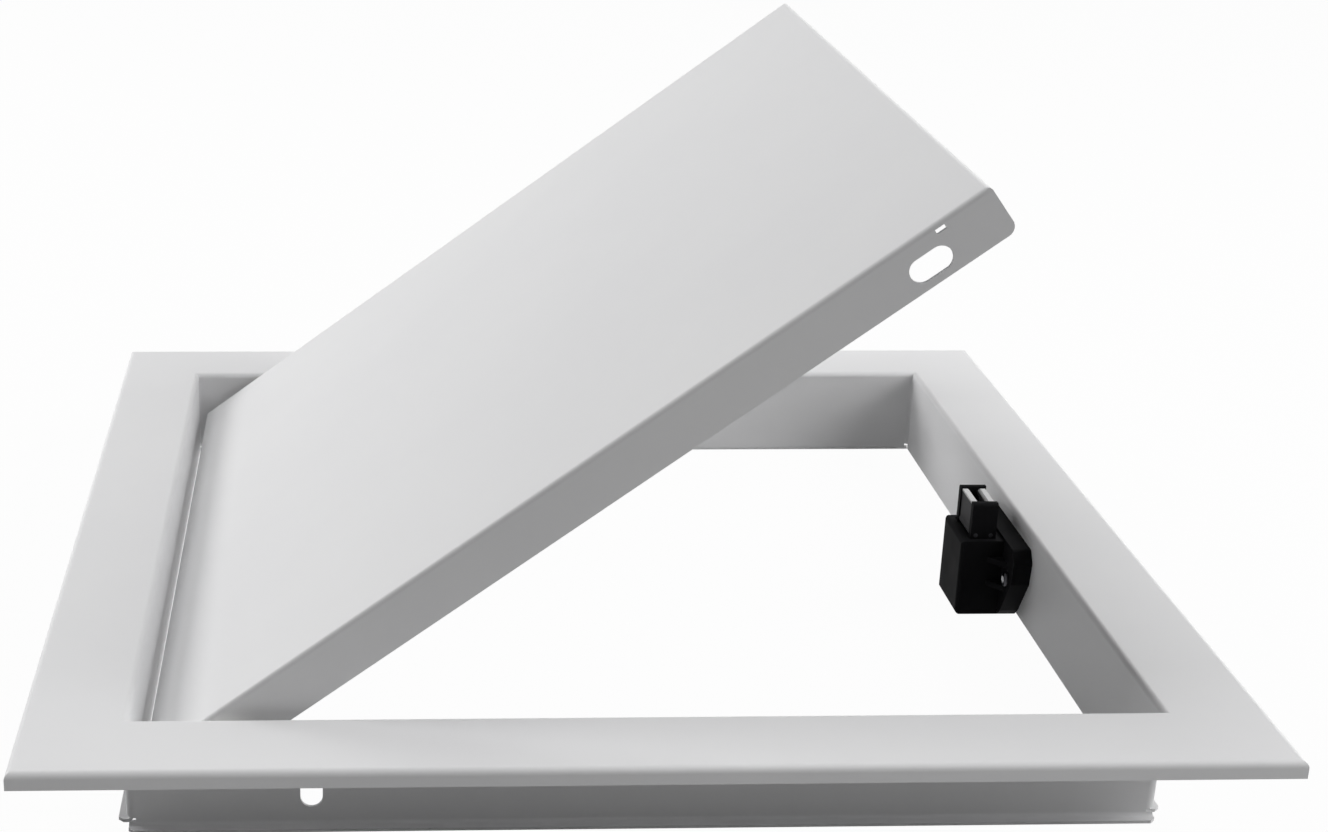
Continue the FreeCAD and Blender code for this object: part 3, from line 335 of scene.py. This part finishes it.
def natural_nylon():
    """Milky natural nylon."""
    material, wires, shader, skin = finish_of(
        "natural_nylon", SPARK_GRAIN, {"Grain Size": 1800.0, "Cloud Size": 120.0}, 0.45)
    two_tones(wires, shader, (skin, "Cloud"), 0.3, 0.7, (0.78, 0.77, 0.71), (0.84, 0.835, 0.79))
    bump(wires, shader, (skin, "Height"), 0.15, 0.00003)
    shader.inputs["Subsurface Weight"].default_value = 0.15
    shader.inputs["Subsurface Scale"].default_value = 0.0015
    return material


def dress_nodes():
    """Gives every CAD node its finish, by the slot that the record names, and returns them."""
    jaw_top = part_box("jaw_inner")[1].z
    finishes = {
        "white_powder_coat": white_powder_coat(),
        "black_plastic": black_plastic(),
        "grey_plastic": jaw_plastic(jaw_top),
        "zinc_plated_steel": zinc_plate(),
        "black_zinc_steel": black_zinc(SCREW_TOP),
        "spring_steel": spring_steel(),
        "white_nylon": natural_nylon(),
    }
    slots = {row["node"]: row["material_slot"] for row in frame["record"]["subparts"]}
    for name, node in frame["nodes"].items():
        node.data.materials.clear()
        node.data.materials.append(finishes[slots[name]])
    return finishes


# Fasteners and spring: closed skins in rows of points round an axis or a wire.

POINTS_ROUND = 36
ANGLES = np.arange(POINTS_ROUND) * 2 * np.pi / POINTS_ROUND
X_WAY, Y_WAY, Z_WAY = np.eye(3)
SHARP_ANGLE = math.radians(38)

# Sizes and places in millimetres, as the CAD pieces have them. The door's own heights start
# at its hinge line, square to its face.
DOOR_TURN = math.radians(36.6)
DOOR_PLACE = np.array((-122.3, 0, 25.8))
DOOR_ALONG = np.array((math.cos(DOOR_TURN), 0, math.sin(DOOR_TURN)))
DOOR_UP = np.array((-math.sin(DOOR_TURN), 0, math.cos(DOOR_TURN)))

SCREW_PLACES = ((0, -19, 17), (0, 19, 17))
HEAD_TOP, HEAD_UNDER, HEAD_RADIUS = 142.0, 143.5, 2.5
SOCKET_FLATS, SOCKET_DEPTH = 2.0, 0.75
SHANK_END, SCREW_THREAD, SCREW_END = 150.3, 150.4, 154.6
WALL_OUTSIDE = 151.0

STUD_PLACES = (236.4, 247.4)
STUD_LOW, STUD_HIGH = 3.6, 8.2
STRIKE_NUT_LOW = 4.8

THREAD_RADIUS, THREAD_PITCH, THREAD_DEPTH = 1.5, 0.5, 0.28
THREAD_ROWS = 7
POINT_RADIUS = 1.15
NUT_FLATS, NUT_HEIGHT = 5.5, 2.4
WASHER_FACE = 0.475
BORE_PLAY, BORE_LEAD = 0.02, 0.22

CATCH_X = 136.5
COIL_TURNS, COIL_STEPS, COIL_AROUND = 7, 40, 12
COIL_WIRE, COIL_RADIUS = 0.4, 2.6
CLOSED_TURNS = 0.75


def wall_axes():
    """The axes of the catch's screws, which go through the wall along +X.

    An axis is its place and the unit ways at angle 0, at a quarter turn and along it.
    """
    return [(np.array(place), Y_WAY, Z_WAY, X_WAY) for place in SCREW_PLACES]


def stud_axes():
    """The axes of the strike's studs, which point up to the door's face."""
    return [(DOOR_PLACE + DOOR_ALONG * reach, DOOR_ALONG, Y_WAY, DOOR_UP)
            for reach in STUD_PLACES]


def even(rows):
    """Rows of one radius each, as an array of heights and one of radii at every angle."""
    heights, radii = np.array(rows, dtype=float).T
    return heights, np.repeat(radii[:, None], POINTS_ROUND, axis=1)


def hexagon(flats):
    """Distance from the middle of a regular hexagon to its sides, at every angle.

    It is half the width across flats divided by the cosine of the angle from the nearest
    flat's middle.
    """
    from_flat = (ANGLES + np.pi / 6) % (np.pi / 3) - np.pi / 6
    return flats / 2 / np.cos(from_flat)


def thread(start, end, first_limit, last_limit):
    """Rows of a threaded rod from start to end, with its ends cut back by 45 degree cones.

    The radius falls from the crest by a wave of the height in pitches less the share of a
    turn, which is a triangle cut flat at its crest and root, and stays under each cone's
    limit: that end's radius plus the distance from the end.
    """
    count = int(round((end - start) / THREAD_PITCH * THREAD_ROWS)) + 1
    heights = np.linspace(start, end, count)
    phase = (heights[:, None] / THREAD_PITCH - ANGLES[None, :] / (2 * np.pi)) % 1
    wave = np.clip(np.abs(2 * phase - 1) * 1.5 - 0.25, 0, 1)
    radii = THREAD_RADIUS - THREAD_DEPTH * wave
    radii = np.minimum(radii, (first_limit + heights - start)[:, None])
    radii = np.minimum(radii, (last_limit + end - heights)[:, None])
    return heights, radii


def stacked(*parts):
    """Several stretches of rows as one, in order."""
    return (np.concatenate([heights for heights, radii in parts]),
            np.concatenate([radii for heights, radii in parts]))


def pan_head(top, under, radius, flats, depth):
    """Rows of a pan head from the middle of its socket's floor to its underside.

    The socket is a hexagon with a small lead-in. The crown is a quarter of an ellipse from
    a flat top of 0.7 of the radius down to half the head's height.
    """
    socket = hexagon(flats)
    inside = (np.array([top + depth, top + 0.12, top]),
              np.stack([socket, socket, np.maximum(socket, flats * 0.58) + 0.08]))
    turn = np.linspace(0, np.pi / 2, 9)
    flat = radius * 0.7
    crown = even(np.stack([top + (under - top) / 2 * (1 - np.cos(turn)),
                           flat + (radius - flat) * np.sin(turn)], axis=1))
    rim = even([(under - 0.12, radius), (under - 0.03, radius - 0.04), (under, radius - 0.12)])
    return stacked(inside, crown, rim)


def screw_rows():
    """A catch screw: pan head, plain shank inside the ear, thread through wall and nut."""
    head = pan_head(HEAD_TOP, HEAD_UNDER, HEAD_RADIUS, SOCKET_FLATS, SOCKET_DEPTH)
    shank = even([(HEAD_UNDER, THREAD_RADIUS), (SHANK_END, THREAD_RADIUS)])
    return stacked(head, shank, thread(SCREW_THREAD, SCREW_END, THREAD_RADIUS, POINT_RADIUS))


def nut_rows(start):
    """A hexagon nut with both faces turned to 30 degree cones, and its bore.

    The radius at every angle is the lesser of the hexagon's and the cone's: the washer
    face's radius plus 1.73 times the distance from the nearer face.
    """
    steps = np.array([0, 0.04, 0.08, 0.13, 0.18, 0.23, 0.28, 0.34])
    heights = np.concatenate([steps, NUT_HEIGHT - steps[::-1]])
    depth = np.minimum(heights, NUT_HEIGHT - heights)
    cone = NUT_FLATS * WASHER_FACE + depth * math.sqrt(3)
    outside = (heights, np.minimum(hexagon(NUT_FLATS)[None, :], cone[:, None]))
    bore, lead = THREAD_RADIUS + BORE_PLAY, BORE_LEAD
    inside = even([(NUT_HEIGHT, bore + lead), (NUT_HEIGHT - lead, bore), (lead, bore),
                   (0, bore + lead)])
    heights, radii = stacked(outside, inside)
    return start + heights, radii


def row_faces(count, around, bored, offset):
    """Faces of a closed skin of rows: quads between rows, then a fan on each end's middle.

    With a bore the last row joins the first, and there are no fans. offset is the number
    of the skin's first point in its mesh.
    """
    ring = np.arange(around)
    step = np.roll(ring, -1)
    row = np.arange(count if bored else count - 1)[:, None] * around
    above = (row + around) % (count * around)
    faces = np.stack([row + ring, row + step, above + step, above + ring], axis=-1)
    faces = (faces.reshape(-1, 4) + offset).tolist()
    if bored:
        return faces
    last, middle = (count - 1) * around, np.full(around, count * around)
    first_fan = np.stack([middle, step, ring], axis=1)
    last_fan = np.stack([middle + 1, last + ring, last + step], axis=1)
    return faces + (np.concatenate([first_fan, last_fan]) + offset).tolist()


def row_piece(name, body, node, finish, skins, bored=False):
    """A mesh of skins, each an array of rows by points round by three, in millimetres.

    It rides on a body and stands for a CAD node. An end without a bore closes on the mean
    of its row.
    """
    points, faces, offset = [], [], 0
    for skin in skins:
        count, around = skin.shape[:2]
        middles = [] if bored else [skin[[0, -1]].mean(axis=1)]
        points += [skin.reshape(-1, 3)] + middles
        faces += row_faces(count, around, bored, offset)
        offset += count * around + 2 * len(middles)
    mesh = bpy.data.meshes.new(name)
    mesh.from_pydata((np.concatenate(points) * MM).tolist(), [], faces)
    mesh.polygons.foreach_set("use_smooth", np.ones(len(faces), dtype=bool))
    mesh.set_sharp_from_angle(angle=SHARP_ANGLE)
    mesh.materials.append(finish)
    piece = bpy.data.objects.new(name, mesh)
    bpy.context.scene.collection.objects.link(piece)
    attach(piece, body)
    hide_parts(node)
    return piece


def turned(axes, rows):
    """The same rows round each axis.

    A point is the axis' place, plus its radius times the cosine and sine of its angle
    across the axis, plus its height along it.
    """
    heights, radii = rows
    skins = []
    for place, level, upright, along in axes:
        across = np.cos(ANGLES)[:, None] * level + np.sin(ANGLES)[:, None] * upright
        skins.append(place + radii[:, :, None] * across[None]
                     + heights[:, None, None] * along)
    return skins


def coil(low, high):
    """The catch's spring, a round wire along a helix with a closed turn at each end.

    Along the wire the centre turns evenly round the spring's axis while it climbs by the
    running sum of the pitch. The pitch is the wire's own width in the end turns and grows
    to its full size over half a turn. The ring round the centre is one way outwards from
    the axis and the other square to that and to the wire.
    """
    turn = np.linspace(0, COIL_TURNS, COIL_TURNS * COIL_STEPS + 1)
    from_end = np.minimum(turn, COIL_TURNS - turn)
    opened = np.clip((from_end - CLOSED_TURNS) * 2, 0, 1)
    opened = opened * opened * (3 - 2 * opened)
    width = 2 * COIL_WIRE
    closed_height = width * COIL_TURNS
    climb = np.concatenate([[0], np.cumsum((opened[1:] + opened[:-1]) / 2)])
    height = width * turn + climb / climb[-1] * (high - low - width - closed_height)
    angle = turn * 2 * np.pi
    outward = np.stack([np.cos(angle), np.sin(angle), np.zeros_like(angle)], axis=1)
    centre = outward * COIL_RADIUS + np.stack(
        [np.full_like(angle, CATCH_X), np.zeros_like(angle), low + COIL_WIRE + height], axis=1)
    along = np.gradient(centre, axis=0)
    along -= outward * np.sum(along * outward, axis=1, keepdims=True)
    along /= np.linalg.norm(along, axis=1, keepdims=True)
    upright = np.cross(along, outward)
    ring = np.arange(COIL_AROUND) * 2 * np.pi / COIL_AROUND
    across = (np.cos(ring)[None, :, None] * outward[:, None]
              + np.sin(ring)[None, :, None] * upright[:, None])
    return centre[:, None] + COIL_WIRE * across


def catch_spring(finish):
    """The catch's spring, a coil as tall as the CAD spring, riding on the frame."""
    low, high = (corner.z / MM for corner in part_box("latch_spring"))
    piece = row_piece("catch_spring", "frame", "latch_spring", finish,
                      [coil(low, high)])
    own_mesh(piece)


def fine_pieces(finishes):
    """The threaded and coiled pieces, finer than their CAD nodes, with the same finishes."""
    black, zinc = finishes["black_zinc_steel"], finishes["zinc_plated_steel"]
    row_piece("catch_screws", "frame", "latch_screws", black,
              turned(wall_axes(), screw_rows()))
    row_piece("catch_nuts", "frame", "latch_nuts", zinc,
              turned(wall_axes(), nut_rows(WALL_OUTSIDE)), bored=True)
    row_piece("door_studs", "door", "strike_studs", zinc,
              turned(stud_axes(), thread(STUD_LOW, STUD_HIGH, POINT_RADIUS, THREAD_RADIUS)))
    row_piece("door_nuts", "door", "strike_nuts", zinc,
              turned(stud_axes(), nut_rows(STRIKE_NUT_LOW)), bored=True)
    catch_spring(finishes["spring_steel"])


# Stage: a pale floor, a white surround for what the camera sees, and soft lamps.

FLOOR_REACH, FLOOR_LEVEL, FLOOR_TONE = 6.0, -0.0003, 0.6
FLOOR_WHITE, SURROUND_LIGHT = 0.97, 0.01
LAMP_WIDTH, LAMP_DISTANCE, LAMP_AIM = 0.8, 1.6, 0.08

# Each lamp: name, degrees round from +X, degrees up, and watts.
LAMPS = (
    ("catch_side", 0, 37, 15.2),
    ("catch_side_near", 335, 20, 8),
    ("hinge_side_high", 180, 60, 9.6),
    ("hinge_side_rear", 145, 18, 12.8),
)


def white_for_views(tree, lit_socket, share):
    """Mixes plain white into a surface for camera, glossy and transmission rays."""
    wires = Wiring(tree)
    rays = wires.add("ShaderNodeLightPath")
    seen = wires.sums("camera or glossy", "MAXIMUM", (rays, "Is Camera Ray"), (rays, "Is Glossy Ray"))
    seen = wires.sums("any view", "MAXIMUM", (seen, "Value"), (rays, "Is Transmission Ray"))
    amount = wires.sums("share", "MULTIPLY", (seen, "Value"), share)
    white = wires.add("ShaderNodeEmission", "white")
    mix = wires.add("ShaderNodeMixShader")
    wires.join(amount, "Value", mix, "Fac")
    tree.links.new(lit_socket, mix.inputs[1])
    wires.join(white, "Emission", mix, 2)
    return mix


def floor():
    """The pale floor under the panel, white to every view but for a trace of shadow."""
    mesh = bpy.data.meshes.new("floor")
    reach, level = FLOOR_REACH, FLOOR_LEVEL
    mesh.from_pydata([(-reach, -reach, level), (reach, -reach, level), (reach, reach, level),
                      (-reach, reach, level)], [], [(0, 1, 2, 3)])
    ground = bpy.data.objects.new("floor", mesh)
    bpy.context.scene.collection.objects.link(ground)
    material = bpy.data.materials.new("floor_paper")
    material.use_nodes = True
    tree = material.node_tree
    shader = tree.nodes["Principled BSDF"]
    shader.inputs["Base Color"].default_value = (FLOOR_TONE, FLOOR_TONE, FLOOR_TONE, 1)
    shader.inputs["Roughness"].default_value = 1.0
    shader.inputs["Specular IOR Level"].default_value = 0.0
    mix = white_for_views(tree, shader.outputs["BSDF"], FLOOR_WHITE)
    tree.links.new(mix.outputs["Shader"], tree.nodes["Material Output"].inputs["Surface"])
    mesh.materials.append(material)


def surround():
    """World: white to every view, and a quiet grey that lights the object."""
    world = bpy.data.worlds.new("surround")
    bpy.context.scene.world = world
    world.use_nodes = True
    tree = world.node_tree
    lit = tree.nodes["Background"]
    lit.inputs["Color"].default_value = (1, 1, 1, 1)
    lit.inputs["Strength"].default_value = SURROUND_LIGHT
    mix = white_for_views(tree, lit.outputs["Background"], 1.0)
    tree.links.new(mix.outputs["Shader"], tree.nodes["World Output"].inputs["Surface"])


def lamp(name, turn, rise, power):
    """A square soft lamp at one distance, turned round from +X and raised, facing the panel."""
    turn, rise = math.radians(turn), math.radians(rise)
    way = Vector((math.cos(rise) * math.cos(turn), math.cos(rise) * math.sin(turn), math.sin(rise)))
    data = bpy.data.lights.new(name, "AREA")
    data.size = LAMP_WIDTH
    data.energy = power
    light = bpy.data.objects.new(name, data)
    light.rotation_mode = "QUATERNION"
    light.rotation_quaternion = way.to_track_quat("Z", "Y")
    light.location = Vector((0, 0, LAMP_AIM)) + way * LAMP_DISTANCE
    bpy.context.scene.collection.objects.link(light)


def stage():
    """Everything round the panel: floor, surround and lamps."""
    floor()
    surround()
    for name, turn, rise, power in LAMPS:
        lamp(name, turn, rise, power)


camera()
fine_pieces(dress_nodes())
stage()
bpy.context.scene.view_settings.view_transform = "Standard"
